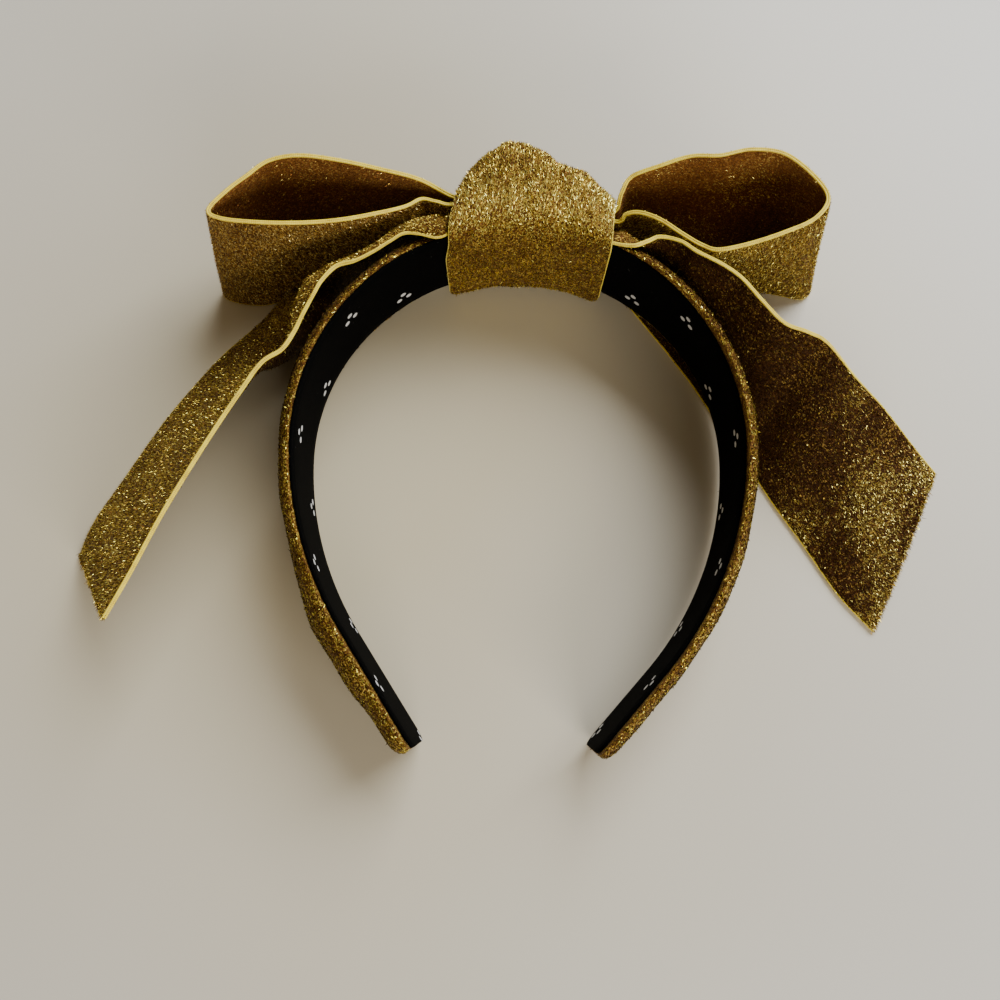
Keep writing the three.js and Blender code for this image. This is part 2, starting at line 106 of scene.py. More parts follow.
# Ribbon sections from the knot outwards: near x, y, z (upper edge), far x, y, z (lower edge),
# belly (how far the middle stands off), low (how far that swell sits down), pleat (gathers' depth).
LOOP_LEFT = [
    (1, 86, 35, 1, 85, 14, 0, 1, 0.8),
    (-14, 80.3, 36, -14, 80, 13, 0, 1, 0.8),
    (-20, 78.4, 36.5, -21, 78.6, 11.5, 0, 1, 0.8),
    (-31, 80.5, 43, -33, 81, 7, 0, 1, 0.5),
    (-43, 82, 46, -47, 82.5, 3, 0, 1, 0),
    (-55, 83.5, 48, -61, 83, 1, 0, 1, 0),
    (-67, 84, 49.5, -74, 82.5, 0.75, 0, 1, 0),
    (-76, 82, 49.5, -84, 80.5, 0.75, 0, 1, 0),
    (-82, 77, 49.5, -90.5, 75.5, 0.75, 0, 1, 0),
    (-87.5, 72, 49.5, -96, 69.5, 0.75, 0, 1, 0),
    (-92.5, 65.5, 49.5, -101, 63, 0.75, 0, 1, 0),
    (-89, 62.7, 49.5, -97.5, 60, 0.75, 0, 1, 0),
    (-78.5, 61.5, 49.5, -87, 59, 0.75, 0, 1, 0),
    (-65.5, 62, 48.5, -73, 63, 0.75, 0, 1, 0),
    (-54, 64, 47, -60, 67, 1.5, 0, 1, 0),
    (-42.5, 67.7, 45, -46, 71, 4, 0, 1, 0.3),
    (-35, 71.8, 42, -37.5, 72.5, 7, 0, 1, 0.6),
    (-30.5, 75.6, 40, -31.5, 75.3, 9, 0, 1, 0.6),
    (-26, 75.4, 39, -26.5, 75.2, 10, 0, 1, 0.6),
    (-19.5, 75.4, 37.5, -20, 75.5, 11, 0, 1, 0.6),
    (1, 81.5, 34, 1, 81, 14, 0, 1, 0.6),
]
LOOP_RIGHT = [
    (3, 86, 35, 3, 85, 14, 0, 1, 0.8),
    (22, 78.5, 36, 22, 78.5, 13, 0, 1, 0.8),
    (29.5, 74.6, 35.5, 30, 75.2, 12, 0, 1, 0.8),
    (31.5, 79, 39, 33, 80, 9, 0, 1, 0.5),
    (34.5, 83.5, 41, 38, 84, 6, 0, 1, 0),
    (43, 85.5, 44, 47, 85, 3, 0, 1, 0),
    (52, 87.5, 46, 57, 83, 1, 0, 1, 0),
    (60.5, 86.5, 48, 67, 81.5, 0.75, 0, 1, 0),
    (70, 88, 49, 78, 81, 0.75, 0, 1, 0),
    (80, 86, 49.5, 90.5, 81, 0.75, 0, 1, 0),
    (88.5, 78, 49.5, 97.5, 75.5, 0.75, 0, 1, 0),
    (91.5, 71, 49.5, 101, 67.5, 0.75, 0, 1, 0),
    (87, 64.5, 49.5, 98.5, 63.2, 0.75, 0, 1, 0),
    (78, 60, 49.5, 88.5, 65, 0.75, 0, 1, 0),
    (68, 57, 48, 79, 66.5, 0.75, 0, 1, 0),
    (59, 55.7, 46.5, 70, 67.5, 1, 0, 1, 0),
    (54.3, 58, 45, 63, 68.5, 2, 0, 1, 0),
    (49, 62.5, 43.5, 55.5, 70, 4, 0, 1, 0.3),
    (42.7, 68.5, 41.5, 47, 72.5, 7, 0, 1, 0.6),
    (37, 72, 39.5, 39.5, 74, 9, 0, 1, 0.6),
    (33, 72.3, 38, 34, 73.2, 11, 0, 1, 0.6),
    (30.5, 70.8, 36, 30.5, 71.8, 12, 0, 1, 0.6),
    (22, 74.5, 35, 22, 74.8, 13, 0, 1, 0.6),
    (3, 81.5, 34, 3, 81, 14, 0, 1, 0.6),
]
TAIL_LEFT = [
    (1, 76.5, 30, 1, 76.5, 13, 0, 1, 0.5),
    (-12, 72.8, 37.5, -12, 74.2, 12, 0, 1, 0.3),
    (-18, 67.8, 41.8, -18, 73.2, 11, 3.5, 0.4, 0.2),
    (-21.3, 62.4, 43.3, -21.8, 72.5, 10.5, 6, 0.4, 0.2),
    (-25.1, 60.4, 43.7, -26.5, 72, 9, 7.8, 0.4, 0),
    (-30.3, 61.3, 44, -32, 70.8, 5, 6, 0.35, 0),
    (-35, 61.5, 44, -38, 68.3, 2, 3.8, 0.35, 0),
    (-39.1, 58.9, 44, -43.5, 66.5, 1, 2.8, 0.35, 0),
    (-43.8, 55.3, 44.3, -49.5, 64, 0.75, 2.4, 0.35, 0.2),
    (-49.2, 52.1, 44.4, -56.5, 62.5, 0.75, 2, 0.4, 0.6),
    (-54.7, 50.3, 44.3, -63, 61, 0.75, -0.5, 0.7, 2.2),
    (-58.8, 45.7, 44.2, -69.5, 60, 0.75, -3, 1, 4.2),
    (-60.9, 41.8, 43.8, -74, 59.3, 0.75, -4.5, 1, 6),
    (-64.2, 36, 42, -81.5, 57.3, 0.75, -6, 1, 4.7),
    (-67, 30.5, 40.5, -88.5, 50.5, 0.75, -7, 1, 2.5),
    (-70.3, 25.3, 40, -94, 45, 0.75, -6.5, 1, 1),
    (-76, 21, 40, -99, 40, 0.75, -5, 1, 0),
    (-82, 12, 39, -106.5, 30.5, 0.75, -3, 1, 0),
    (-91, -3.5, 38, -117, 15.5, 0.75, -1, 1, 0),
    (-101.5, -23.5, 37, -129.5, -6.5, 0.75, 0, 1, 0),
    (-109, -41, 37, -136.5, -19, 0.75, 0, 1, 0),
    (-115.5, -54, 36, -140, -30, 0.75, 0, 1, 0),
]
TAIL_RIGHT = [
    (3, 76.5, 30, 3, 76.5, 13, 0, 1, 0.5),
    (14, 73, 37, 14, 74, 12, 0, 1, 0.3),
    (22, 67, 41.6, 22, 71.8, 11, -2.2, 0.5, 0.2),
    (26, 60.6, 43.3, 26.5, 69, 10, -4.9, 0.5, 0.2),
    (29.5, 58.8, 43.7, 30, 66.5, 8, -6.3, 0.5, 0),
    (34.5, 58.4, 43.7, 33.5, 65, 4.5, -5.5, 0.8, 0),
    (38.6, 60.2, 43.2, 37, 61, 2, -5.5, 1.5, 0),
    (42.3, 61.7, 43.1, 41.5, 55.5, 0.75, -6.5, 2.3, 0),
    (48, 59.5, 44.6, 47, 48, 0.75, -7, 3, 0),
    (52.5, 55, 46.5, 50.5, 43.3, 0.75, -7, 4, 0),
    (59.3, 50.5, 47.5, 54.5, 37.5, 0.75, -7, 4, 0),
    (65, 46, 47.5, 58.5, 31.8, 0.75, -6.5, 4, 0),
    (71, 38.7, 47, 63, 24.5, 0.75, -5.5, 3, 0),
    (77.3, 32.8, 45.5, 67.5, 17, 0.75, -4.5, 2, 0),
    (84.7, 31.2, 43, 71.5, 11, 0.75, -3, 1, 0),
    (91.5, 29, 40, 76, 4, 0.75, -3, 1, 0),
    (101, 21, 34, 84, -10, 0.75, -1, 1, 0),
    (112, 13, 27, 93, -24, 0.75, 0.5, 1, 0),
    (123, 2, 21, 103, -40, 0.75, 1.5, 1, 0),
    (129.5, -4.5, 18, 113, -51.5, 0.75, 2, 1, 0),
]


# Surfaces

def to_part(points):
    """Millimetres from the crown arc's centre to metres in the part's frame."""
    return (points - ORIGIN) * MM


def tilt(points):
    """Turn about X by the band's tilt, then lift: y cos - z sin, y sin + z cos + lift."""
    x, y, z = np.moveaxis(points, -1, 0)
    cos, sin = math.cos(BAND_TILT), math.sin(BAND_TILT)
    return np.stack([x, y * cos - z * sin, y * sin + z * cos + BAND_LIFT], -1)


def unit(vectors):
    """Vectors divided by their lengths."""
    return vectors / np.maximum(np.linalg.norm(vectors, axis=-1, keepdims=True), 1e-12)


def ease(value, low, high):
    """Smooth step from 0 at low to 1 at high: w^2 (3 - 2 w)."""
    w = np.clip((value - low) / (high - low), 0, 1)
    return w * w * (3 - 2 * w)


def smooth_rows(table, t):
    """A cubic through the rows of a table, even in the row number: the slope at a row is half the
    step from the row before it to the row after it, and the end rows are mirrored outwards."""
    rows = np.asarray(table, float)
    rows = np.vstack([2 * rows[0] - rows[1], rows, 2 * rows[-1] - rows[-2]])
    place = np.clip(t, 0, 1) * (len(rows) - 3)
    k = np.minimum(place.astype(int), len(rows) - 4)
    w = (place - k)[:, None]
    before, start, end, after = (rows[k + step] for step in range(4))
    leave, arrive = (end - before) / 2, (after - start) / 2
    square = 3 * (end - start) - 2 * leave - arrive
    cube = 2 * (start - end) + leave + arrive
    return start + leave * w + square * w**2 + cube * w**3


def grid_normals(grid, around=False):
    """Unit normals of a grid: the difference across crossed with the difference along."""
    along = np.gradient(grid, axis=0)
    if around:
        across = np.roll(grid, -1, axis=1) - np.roll(grid, 1, axis=1)
    else:
        across = np.gradient(grid, axis=1)
    return unit(np.cross(across, along))


def ribbon_grid(table, steps, sides, ripple):
    """Ribbon through its table: near + v (far - near), pushed along the section's normal by
    belly v^low (1 - v) / crest, by pleat sin(2 pi pleats v) and by a slow ripple in the middle; the
    lines along the ribbon crowd towards the crest, v = (j / sides)^(1 / low^crowding)."""
    t = np.linspace(0, 1, steps + 1)
    rows = smooth_rows(table, t)
    near, far = rows[:, 0:3], rows[:, 3:6]
    belly, low, pleat = (rows[:, k, None] for k in (6, 7, 8))
    across = far - near
    off = unit(np.cross(across, np.gradient((near + far) / 2, axis=0)))
    low = np.maximum(low, 0.2)
    v = np.linspace(0, 1, sides + 1)[None, :] ** (low**-CREST_CROWDING)
    crest = (low / (low + 1)) ** low / (low + 1)
    length = path_length((near + far) / 2)[:, None]
    inside = 4 * v * (1 - v)
    wave = np.sin(length / 9.0 + 2.2 * v) + 0.7 * np.sin(length / 5.3 - 3.1 * v + 1.0)
    stand = belly * v**low * (1 - v) / crest + pleat * np.sin(2 * np.pi * PLEATS * v)
    stand = stand + ripple * inside * wave * np.clip(length / 30 - 0.8, 0, 1)
    return near[:, None] + v[..., None] * across[:, None] + stand[..., None] * off[:, None]


def path_length(path):
    """Length along a path up to each of its points."""
    steps = np.linalg.norm(np.diff(path, axis=0), axis=1)
    return np.concatenate([[0], np.cumsum(steps)])


def knot_grid(columns):
    """Ribbon turn round the crown, one closed section for each place across it: a flat run over the
    lining, round corners and a dome, y = root + (outer - root) cos^p a, z = half sin^p a; below the
    upper rim the left of the flat run spreads along the crown's arc, and at the lower rim the hems
    draw in and the middle sags."""
    t = np.linspace(0, 1, columns)
    sections = smooth_rows(KNOT_SECTIONS, t)
    x_in, x_out, inner, outer, corner, flare = (sections[:, k, None] for k in range(6))
    half = KNOT_HALF_HEIGHT - KNOT_RIM_INSET
    straight = half - corner
    power = 2 / KNOT_FULLNESS
    flat = np.linspace(-1, 1, KNOT_FLAT_STEPS, endpoint=False)[None, :]
    bend = np.linspace(0, np.pi / 2, KNOT_BEND_STEPS)[None, :-1]
    back_bend = np.linspace(np.pi / 2, 0, KNOT_BEND_STEPS)[None, 1:-1]
    dome = np.linspace(np.pi / 2, -np.pi / 2, KNOT_DOME_STEPS)[None, :]
    root = inner + corner
    arch = np.maximum(np.cos(dome), 0) ** power
    rise = np.sign(dome) * np.abs(np.sin(dome)) ** power
    y = np.hstack([
        inner * np.ones_like(flat),
        inner + corner * (1 - np.cos(bend)),
        root + (outer - root) * arch,
        inner + corner * (1 - np.cos(back_bend)),
    ])
    z = np.hstack([
        straight * flat,
        straight + corner * np.sin(bend),
        half * rise * np.ones_like(inner),
        -straight - corner * np.sin(back_bend),
    ])
    share = ease(y, inner, outer)
    spread = flare * (1 - ease(z, FLARE_BOTTOM, FLARE_TOP)) * (1 - share)
    hem = np.sign(0.5 - t) * np.clip(1 - HEM_FALL * np.minimum(t, 1 - t), 0, 1) ** 1.5
    at_hem = (1 - share) * ease(-z, half - HEM_RISE, half)
    x = x_in + (x_out - x_in) * share - spread + HEM_TUCK * hem[:, None] * at_hem**2
    sag = HEM_SAG * (4 * t * (1 - t))[:, None] * at_hem
    grid = np.stack([x, y - FLARE_SLOPE * spread - sag, z], -1)
    out = np.clip((y - inner) / 12, 0, 1)
    folds = 0.45 * np.sin(x / 1.9 + 0.05 * z) + 0.18 * np.sin(x / 0.95 + 1.3 + 0.08 * y)
    edge = np.clip(4 * np.minimum(t, 1 - t), 0, 1)[:, None]
    return grid + (out * edge * folds)[..., None] * grid_normals(grid, True)


def band_stations(per_leg):
    """Stations from the left tip over the crown to the right tip: place and outward direction of
    the inner face, share of the way to the tip, half width, depth, length from the crown and pinch
    of the rims under the knot. Each leg is a quarter turn of the crown, a side arc, a straight, and
    the padding swells towards the left tip."""
    legs = []
    for sign, sweep_deg, straight, swell in (LEGS["left"], LEGS["right"]):
        sweep = math.radians(sweep_deg)
        crown_length = INNER_RADIUS * math.pi / 2
        side_length = SIDE_RADIUS * sweep
        length = crown_length + side_length + straight
        corner_turn = np.sin(np.linspace(0, np.pi / 2, 13))[1:]
        s = np.concatenate([
            np.linspace(0, length - TIP_CORNER, per_leg),
            length - TIP_CORNER + TIP_CORNER * corner_turn,
        ])
        on_crown = s < crown_length
        side_turn = np.pi / 2 + np.minimum((s - crown_length) / SIDE_RADIUS, sweep)
        turn = np.where(on_crown, s / INNER_RADIUS, side_turn)
        outward = np.stack([sign * np.sin(turn), np.cos(turn), np.zeros_like(s)], -1)
        ahead = np.stack([sign * np.cos(turn), -np.sin(turn), np.zeros_like(s)], -1)
        radius = np.where(on_crown, INNER_RADIUS, SIDE_RADIUS)[:, None]
        beyond = np.maximum(0, s - crown_length - side_length)[:, None]
        place = outward * radius + ahead * beyond
        place[:, 0] -= np.where(on_crown, 0, sign * (SIDE_RADIUS - INNER_RADIUS))
        share = s / length
        corner = np.sqrt(np.maximum(0, 1 - (np.maximum(0, s - length + TIP_CORNER) / TIP_CORNER) ** 2))
        pinch = KNOT_PINCH * (1 - ease(s, PINCH_START, PINCH_END))
        half = CROWN_HALF_WIDTH + (TIP_HALF_WIDTH - CROWN_HALF_WIDTH) * share
        half = half - TIP_CORNER * (1 - corner) - pinch
        fade = 1 - SWELL_FADE_SHARE * ease(s, SWELL_FADE, length)
        depth = CROWN_DEPTH + (TIP_DEPTH - CROWN_DEPTH) * share
        depth = depth + swell * ease(s, SWELL_START, SWELL_FULL) * fade
        depth = depth * (TIP_DEPTH_SHARE + (1 - TIP_DEPTH_SHARE) * corner)
        legs.append([place, outward, share, half, depth, sign * s, pinch])
    return [np.concatenate([left[::-1], right[1:]]) for left, right in zip(*legs)]


def band_points(stations, offset, height):
    """Points at an offset from the inner face and a height: place + outward (offset - lean), where
    the lower rim leans inwards towards the tips."""
    place, outward, share, half = stations[:4]
    lean = TIP_LEAN * share[:, None] ** 2 * (0.5 - height / (2 * half[:, None]))
    points = place[:, None] + outward[:, None] * (offset - lean)[..., None]
    points[..., 2] = height
    return points


def pad_grid(per_leg, sides):
    """D-shaped padding as closed rings: depth cos^p a outwards, half width sin^p a in height, then
    back along the flat inner face; soft lumps follow the length and small puckers sit at the rims."""
    stations = band_stations(per_leg)
    half, depth, along = (stations[k][:, None] for k in (3, 4, 5))
    flat = LINING_THICKNESS + PIECE_GAP
    power = 2 / PAD_FULLNESS
    angle = np.linspace(-np.pi / 2, np.pi / 2, sides)[None, :]
    back = np.linspace(0, 1, 8)[None, 1:-1]
    lumps = 1 + 0.03 * np.sin(along / 7.0) + 0.025 * np.sin(along / 3.1 + 2)
    rim = np.abs(np.sin(angle)) ** 6
    puckers = 0.12 * rim * np.sin(along / 0.9) * (1 + 0.5 * np.sin(along / 4.3))
    offset = flat + (depth - flat) * lumps * np.maximum(np.cos(angle), 0) ** power + puckers
    height = np.sign(angle) * np.abs(np.sin(angle)) ** power * half
    offset = np.hstack([offset, flat * np.ones_like(half * back)])
    height = np.hstack([height, half * (1 - 2 * back)])
    return tilt(band_points(stations, offset, height))


def lining_grid(per_leg, sides):
    """Lining strip as closed rings, a thin flat rectangle with its two long edges rounded, and its
    length and height as a map for the print. The upper edge runs higher round the crown and on the
    upper half of the left leg."""
    stations = band_stations(per_leg)
    half, along, pinch = (stations[k][:, None] for k in (3, 5, 6))
    reach = half - LINING_MARGIN + LINING_UNPINCHED * pinch
    lift = LINING_LIFT * (1 - ease(along, *LIFT_RIGHT)) * ease(along, *LIFT_LEFT)
    run = np.linspace(-1, 1, sides)[None, :]
    rise = reach * run + lift * (run + 1) / 2
    soft = 0.25 * (1 - np.abs(run) ** 12)
    wave = 0.12 * np.sin(along / 6.0 + 2 * run)
    inner = 0.25 - soft + wave * soft
    offset = np.hstack([np.full_like(inner, LINING_THICKNESS), inner[:, ::-1]])
    height = np.hstack([rise, rise[:, ::-1]])
    print_map = np.stack([np.broadcast_to(along, height.shape), height], -1) * MM
    return tilt(band_points(stations, offset, height)), print_map


# Meshes

def mesh_piece(name, points, faces, finishes, slots=None, smooth=True, uv=None, shade=None):
    """A mesh from an array of points and one of equal-sided faces, with finishes by face, a UV map
    by face corner and a shade number by point."""
    mesh = bpy.data.meshes.new(name)
    count, sides = faces.shape
    mesh.vertices.add(len(points))
    mesh.vertices.foreach_set("co", np.ascontiguousarray(points, np.float32).ravel())
    mesh.loops.add(count * sides)
    mesh.loops.foreach_set("vertex_index", np.ascontiguousarray(faces, np.int32).ravel())
    mesh.polygons.add(count)
    mesh.polygons.foreach_set("loop_start", np.arange(0, count * sides, sides, dtype=np.int32))
    if slots is not None:
        mesh.polygons.foreach_set("material_index", np.ascontiguousarray(slots, np.int32))
    mesh.polygons.foreach_set("use_smooth", np.full(count, smooth))
    if uv is not None:
        layer = mesh.uv_layers.new(name="UVMap")
        layer.data.foreach_set("uv", np.ascontiguousarray(uv[faces.ravel()], np.float32).ravel())
    if shade is not None:
        layer = mesh.attributes.new("shade", "FLOAT", "POINT")
        layer.data.foreach_set("value", np.ascontiguousarray(shade, np.float32))
    mesh.update(calc_edges=True)
    mesh.validate()
    piece = bpy.data.objects.new(name, mesh)
    bpy.context.scene.collection.objects.link(piece)
    for finish in finishes:
        mesh.materials.append(finish)
    return piece


def quads(rows, cols, around=False):
    """Quads of a grid of rows by cols points; around closes it across."""
    i = np.arange(rows - 1)[:, None]
    j = np.arange(cols if around else cols - 1)[None, :]
    k = (j + 1) % cols
    a, b = i * cols + j, i * cols + k
    return np.stack([a, b, b + cols, a + cols], -1).reshape(-1, 4)


def cloth_uv(grid):
    """Length along the middle of a grid and length across each of its rows, in metres."""
    middle = path_length(grid.mean(1)) * MM
    steps = np.linalg.norm(np.diff(grid, axis=1), axis=2)
    across = np.hstack([np.zeros((len(grid), 1)), np.cumsum(steps, 1)]) * MM
    return np.stack([np.broadcast_to(middle[:, None], across.shape), across], -1)


def sheet_piece(name, grid, wall, upper, lower, around=False):
    """Cloth of even thickness: the grid moved half the wall each way along its normals, the two
    sides joined along the open edges. The first finish is on the normals' side."""
    rows, cols = grid.shape[:2]
    normals = grid_normals(grid, around)
    both = [grid + normals * wall / 2, grid - normals * wall / 2]
    points = np.concatenate([side.reshape(-1, 3) for side in both])
    top = quads(rows, cols, around)
    under = top[:, ::-1] + rows * cols
    start = np.arange(cols) if around else np.arange(cols - 1)
    step = (start + 1) % cols
    last = (rows - 1) * cols
    back = rows * cols
    ends = [
        np.stack([start, start + back, step + back, step], -1),
        np.stack([last + start, last + step, last + step + back, last + start + back], -1),
    ]
    if not around:
        line = np.arange(rows - 1) * cols
        tail = line + cols - 1
        ends += [
            np.stack([line, line + cols, line + cols + back, line + back], -1),
            np.stack([tail, tail + back, tail + cols + back, tail + cols], -1),
        ]
    rim = np.concatenate(ends)
    faces = np.concatenate([top, under, rim])
    slots = np.repeat([0, 1, 0], [len(top), len(under), len(rim)])
    uv = np.tile(cloth_uv(grid).reshape(-1, 2), (2, 1))
    return mesh_piece(name, to_part(points), faces, [upper, lower], slots, uv=uv)


def ring_piece(name, grid, finish, uv):
    """Closed rings joined into a skin; each end is closed by quads across its ring."""
    rows, cols = grid.shape[:2]
    body = quads(rows, cols, True)[:, ::-1]
    k = np.arange(cols // 2 - 1)
    fan = np.stack([k, k + 1, cols - 2 - k, cols - 1 - k], -1)
    faces = np.concatenate([body, fan, fan[:, ::-1] + (rows - 1) * cols])
    return mesh_piece(name, to_part(grid.reshape(-1, 3)), faces, [finish], uv=uv.reshape(-1, 2))


def edge_cords(name, edges, finish, sides=8):
    """Corded edges: round tubes along each edge line, centre = edge + shift * normal, ring =
    centre + radius (cos a * normal + sin a * outward)."""
    points, faces, uvs, base = [], [], [], 0
    angle = np.linspace(0, 2 * np.pi, sides, endpoint=False)[None, :, None]
    for line, normal, outward, shift, radius in edges:
        centre = line + normal * shift
        turned = np.cos(angle) * normal[:, None] + np.sin(angle) * outward[:, None]
        ring = centre[:, None] + radius * turned
        count = len(line)
        points.append(ring.reshape(-1, 3))
        faces.append(quads(count, sides, True) + base)
        length = np.broadcast_to(path_length(line)[:, None] * MM, (count, sides))
        turn = np.broadcast_to(np.arange(sides)[None, :] / sides, (count, sides))
        uvs.append(np.stack([length, turn], -1).reshape(-1, 2))
        base += count * sides
    points, faces, uvs = (np.concatenate(each) for each in (points, faces, uvs))
    return mesh_piece(name, to_part(points), faces, [finish], uv=uvs)


def brushed(grid, start, depth):
    """Painted light on a ribbon's back, an amount for each point of a grid added to its blades' shade:
    gold highlight patches with a late start, a lift of faces in shade with an early one: depth * ease
    past the start * (lift towards the end + slow waves along and across + fine streaks), none below zero."""
    along = path_length(grid.mean(1))[:, None]
    across = np.linspace(0, 1, grid.shape[1])[None, :]
    share = along / along[-1]
    slow = np.sin(along / 6.1 + 5.0 * across) + np.sin(along / 9.7 - 8.0 * across + 2.0)
    streak = 0.5 * np.sin(along / 0.7 + 9.0 * across) * np.sin(31.0 * across + along / 14.0)
    lift = 0.05 + 0.75 * ease(share, 0.8, 1.0)
    return depth * ease(share, start, start + 0.2) * np.maximum(0, lift + 0.5 * slow + streak)


def blade_piece(name, foot, side, tip, width, shade, finish):
    """Flat blades as one mesh, a triangle each: foot - side * width / 2, foot + side * width / 2 and
    the tip, none of them below the table, with each blade's shade on its three points."""
    points = np.stack([foot - side * width / 2, foot + side * width / 2, tip], 1).reshape(-1, 3)
    points[:, 2] = np.maximum(points[:, 2], PILE_FLOOR)
    faces = np.arange(len(points)).reshape(-1, 3)
    shade = np.repeat(shade, 3)
    return mesh_piece(name, to_part(points), faces, [finish], smooth=False, shade=shade)


def pile_blades(name, grid, normals, blade, foil, finish, seed):
    """Short blades of foil yarn on a grid: blade is their count, length, width and lean, and foil
    is painted light added to the blades' shade, painted shade where it is below zero. The foot is a
    point of the grid drawn evenly by area; the tip is foot + length * unit(normal / 2 + lean * along +
    random), and the blade's flat side faces off the cloth at a random slant."""
    rng = np.random.default_rng(seed)
    count, length, width, lean = blade
    a, b, c, d = grid[:-1, :-1], grid[1:, :-1], grid[:-1, 1:], grid[1:, 1:]
    area = np.linalg.norm(np.cross(b - a, c - a), axis=-1)
    cell = rng.choice(area.size, count, p=area.ravel() / area.sum())
    i, j = np.divmod(cell, area.shape[1])
    s, t = rng.random((2, count, 1))
    foot = (a[i, j] * (1 - s) + b[i, j] * s) * (1 - t) + (c[i, j] * (1 - s) + d[i, j] * s) * t
    normal = normals[i, j]
    along = unit(b[i, j] - a[i, j])
    rise = unit(0.5 * normal + lean * along + 0.4 * rng.normal(size=(count, 3)))
    side = unit(np.cross(rise, normal + 0.45 * rng.normal(size=(count, 3))))
    reach = length * rng.uniform(0.55, 1.25, (count, 1))
    thick = width * rng.uniform(0.7, 1.3, (count, 1))
    foot = foot - PILE_FOOT * normal
    # Random tone for each blade, raised by foil's painted light; foil below zero is painted shade.
    shade = rng.random(count) + rng.random(count) * np.broadcast_to(foil, grid.shape[:2])[i, j]
    return blade_piece(name, foot, side, foot + rise * reach, thick, np.minimum(shade, 1), finish)


def fringe_blades(name, line, ahead, yarns, finish, seed):
    """Loose yarns of a cut end, from points of its line along the way the ribbon runs: yarns is
    their count, length and width, and the tip is foot + length * unit(ahead + random)."""
    rng = np.random.default_rng(seed)
    count, length, width = yarns
    place = rng.random(count) * (len(line) - 1)
    k = place.astype(int)
    w = (place - k)[:, None]
    foot = line[k] * (1 - w) + line[k + 1] * w
    rise = unit(ahead[k] + 0.35 * rng.normal(size=(count, 3)))
    side = unit(np.cross(rise, rng.normal(size=(count, 3))))
    reach = length * rng.uniform(0.3, 1.2, (count, 1))
    foot = foot - 0.3 * ahead[k] + 0.35 * rng.normal(size=(count, 3))
    return blade_piece(name, foot, side, foot + rise * reach, width, rng.random(count), finish)


# Finishes

FOIL_TINT = (1.0, 0.87, 0.56, 1.0)


def finish_base(name):
    """A new material with its node tree and main shader."""
    material = bpy.data.materials.new(name)
    material.use_nodes = True
    return material, material.node_tree, material.node_tree.nodes["Principled BSDF"]


def add_node(tree, kind, settings=None, **sockets):
    """A node with its settings and its sockets: a socket is linked, anything else is set."""
    made = tree.nodes.new(kind)
    for key, value in (settings or {}).items():
        setattr(made, key, value)
    for key, value in sockets.items():
        target = made.inputs[int(key[1:])] if key[0] == "i" and key[1:].isdigit() else made.inputs[key]
        if isinstance(value, bpy.types.NodeSocket):
            tree.links.new(value, target)
        else:
            target.default_value = value
    return made


def math_out(tree, operation, first, second=0.0, third=0.0):
    """The result of one arithmetic node."""
    made = add_node(tree, "ShaderNodeMath", {"operation": operation}, i0=first, i1=second, i2=third)
    return made.outputs[0]


def ramp_out(tree, factor, stops):
    """A colour ramp: stops are (place, red, green, blue)."""
    made = add_node(tree, "ShaderNodeValToRGB", i0=factor)
    elements = made.color_ramp.elements
    while len(elements) < len(stops):
        elements.new(0.5)
    for element, (place, *colour) in zip(elements, stops):
        element.position = place
        element.color = (*colour, 1.0)
    return made.outputs["Color"]


def foil_velvet(name, stops, glint, fleck_size, sheen):
    """Velvet ground with foil yarn: cells of about a third of a millimetre take their colour from a
    ramp and their share of metal at random, a slow cloud makes brushed patches, and a fine grain
    roughens the face."""
    material, tree, shader = finish_base(name)
    place = add_node(tree, "ShaderNodeTexCoord").outputs["Object"]
    cells = add_node(tree, "ShaderNodeTexVoronoi", Vector=place, Scale=1 / fleck_size)
    cloud = add_node(tree, "ShaderNodeTexNoise", Vector=place, Scale=70.0, Detail=3.0)
    pick = add_node(tree, "ShaderNodeSeparateColor", Color=cells.outputs["Color"])
    lift = math_out(tree, "MULTIPLY_ADD", cloud.outputs["Fac"], 0.5, -0.25)
    level = math_out(tree, "ADD", pick.outputs["Red"], lift)
    colour = ramp_out(tree, level, stops)
    tree.links.new(colour, shader.inputs["Base Color"])
    metal = math_out(tree, "MULTIPLY", pick.outputs["Green"], glint)
    tree.links.new(metal, shader.inputs["Metallic"])
    grain = add_node(tree, "ShaderNodeTexNoise", Vector=place, Scale=1.4 / fleck_size, Detail=2.0)
    bump = add_node(tree, "ShaderNodeBump", Strength=0.9, Distance=0.0004, Height=grain.outputs["Fac"])
    tree.links.new(bump.outputs["Normal"], shader.inputs["Normal"])
    shader.inputs["Roughness"].default_value = 0.5
    shader.inputs["Sheen Weight"].default_value = sheen
    shader.inputs["Sheen Roughness"].default_value = 0.4
    shader.inputs["Sheen Tint"].default_value = (0.9, 0.7, 0.35, 1.0)
    shader.inputs["Specular IOR Level"].default_value = 0.3
    shader.inputs["Specular Tint"].default_value = FOIL_TINT
    return material


def foil_yarn(name, stops, roughness):
    """Foil yarn blades: metal whose colour comes from each blade's own shade."""
    material, tree, shader = finish_base(name)
    shade = add_node(tree, "ShaderNodeAttribute", {"attribute_name": "shade"}).outputs["Fac"]
    tree.links.new(ramp_out(tree, shade, stops), shader.inputs["Base Color"])
    shader.inputs["Metallic"].default_value = 0.7
    shader.inputs["Specular IOR Level"].default_value = 0.25
    shader.inputs["Specular Tint"].default_value = FOIL_TINT
    shader.inputs["Roughness"].default_value = roughness
    return material


